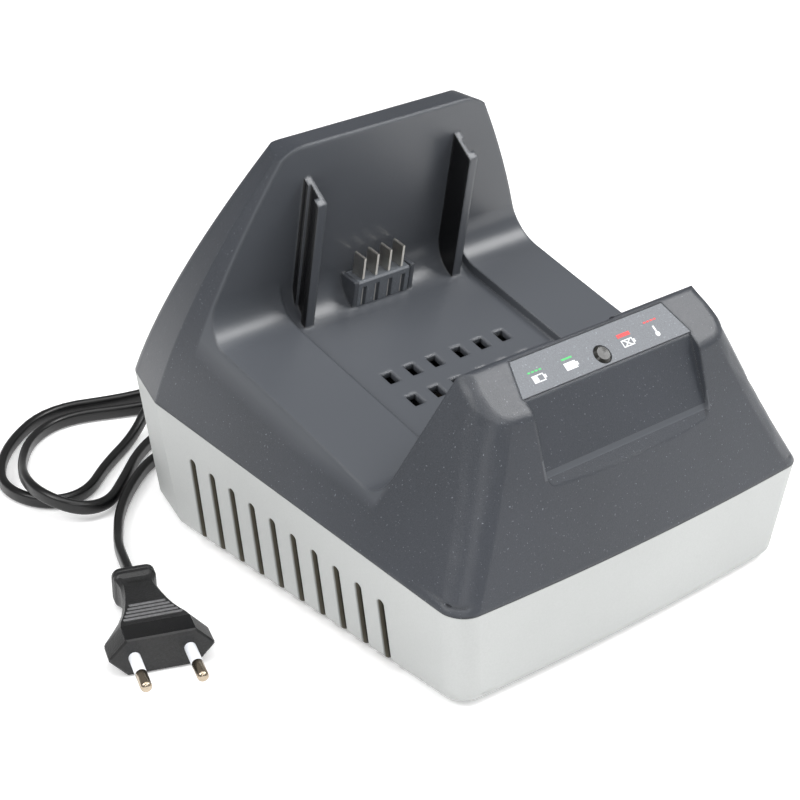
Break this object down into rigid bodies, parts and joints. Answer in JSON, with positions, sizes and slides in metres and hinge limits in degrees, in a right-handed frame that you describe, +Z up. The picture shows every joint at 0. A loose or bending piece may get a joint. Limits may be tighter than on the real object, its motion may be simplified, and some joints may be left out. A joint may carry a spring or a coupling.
{
  "type": "power tool battery charger",
  "caption": "Desktop battery charger with a tilted open cradle between a console and a raised contact wall, two-tone housing, vent slots, and a flexible mains lead with a flat two-pin plug.",
  "frame": {"origin": "centre of the charger's footprint, on the surface that it stands on; its lead is left out of the measure", "axes": "+X to the right and +Y to the back as seen from the console side, +Z up"},
  "size_m": [0.2372, 0.2851, 0.1473],
  "materials": {
    "shell_grey": "finely textured slate grey",
    "base_grey": "finely textured light grey",
    "bezel_grey": "satin slate grey plate with printed signs",
    "lens_clear": "frosted clear",
    "led_epoxy": "clear epoxy",
    "board_green": "solder mask",
    "zinc_steel": "zinc plated",
    "black_moulding": "glass-filled moulding",
    "contact_nickel": "nickel plated",
    "ferrite": "sintered ferrite",
    "winding_tape": "yellow polyester tape",
    "heatsink_aluminium": "extruded",
    "can_sleeve": "shrink sleeve",
    "copper_winding": "enamelled copper",
    "fuse_glass": "clear tube",
    "relay_case": "moulded case",
    "terminal_green": "moulded block",
    "fan_black": "moulded",
    "bearing_bronze": "sintered bronze",
    "wire_insulation": "insulated stranded wire",
    "foot_rubber": "moulded rubber",
    "cord_black": "soft cable jacket",
    "tie_black": "twist tie",
    "sleeve_white": "white insulating sleeve"
  },
  "bodies": {
    "charger": {"base_housing": "base_grey", "board_screws": "zinc_steel", "bulk_capacitor": "can_sleeve", "case_screws": "zinc_steel", "coil_tie": "tie_black", "contact_blade_1": "contact_nickel", "contact_blade_2": "contact_nickel", "contact_blade_3": "contact_nickel", "contact_blade_4": "contact_nickel", "fan_bearing": "bearing_bronze", "fan_frame": "fan_black", "fan_lead": "wire_insulation", "fan_stator": "copper_winding", "indicator_bezel": "bezel_grey", "indicator_board": "board_green", "indicator_leads": "wire_insulation", "indicator_screws": "zinc_steel", "led_lens": "lens_clear", "main_board": "board_green", "mains_choke": "copper_winding", "mains_cord_coil": "cord_black", "mains_cord_far": "cord_black", "mains_cord_near": "cord_black", "mains_fuse": "fuse_glass", "mains_inlet_block": "terminal_green", "mains_leads": "wire_insulation", "output_capacitors": "can_sleeve", "output_leads": "wire_insulation", "output_rectifiers": "black_moulding", "pin_sleeve_1": "sleeve_white", "pin_sleeve_2": "sleeve_white", "plug_body": "cord_black", "plug_pin_1": "contact_nickel", "plug_pin_2": "contact_nickel", "power_transistors": "black_moulding", "primary_heatsink": "heatsink_aluminium", "relay": "relay_case", "rubber_foot_1": "foot_rubber", "rubber_foot_2": "foot_rubber", "rubber_foot_3": "foot_rubber", "rubber_foot_4": "foot_rubber", "secondary_heatsink": "heatsink_aluminium", "status_led": "led_epoxy", "strain_relief": "cord_black", "terminal_block": "black_moulding", "transformer_core": "ferrite", "transformer_winding": "winding_tape", "upper_housing": "shell_grey"},
    "fan": {"fan_rotor": "fan_black"}
  },
  "joints": [
    {"name": "fan_spin", "type": "hinge", "parent": "charger", "child": "fan", "pos_m": [-0.062, -0.002, 0.029], "axis": [1, 0, 0], "continuous": true}
  ]
}
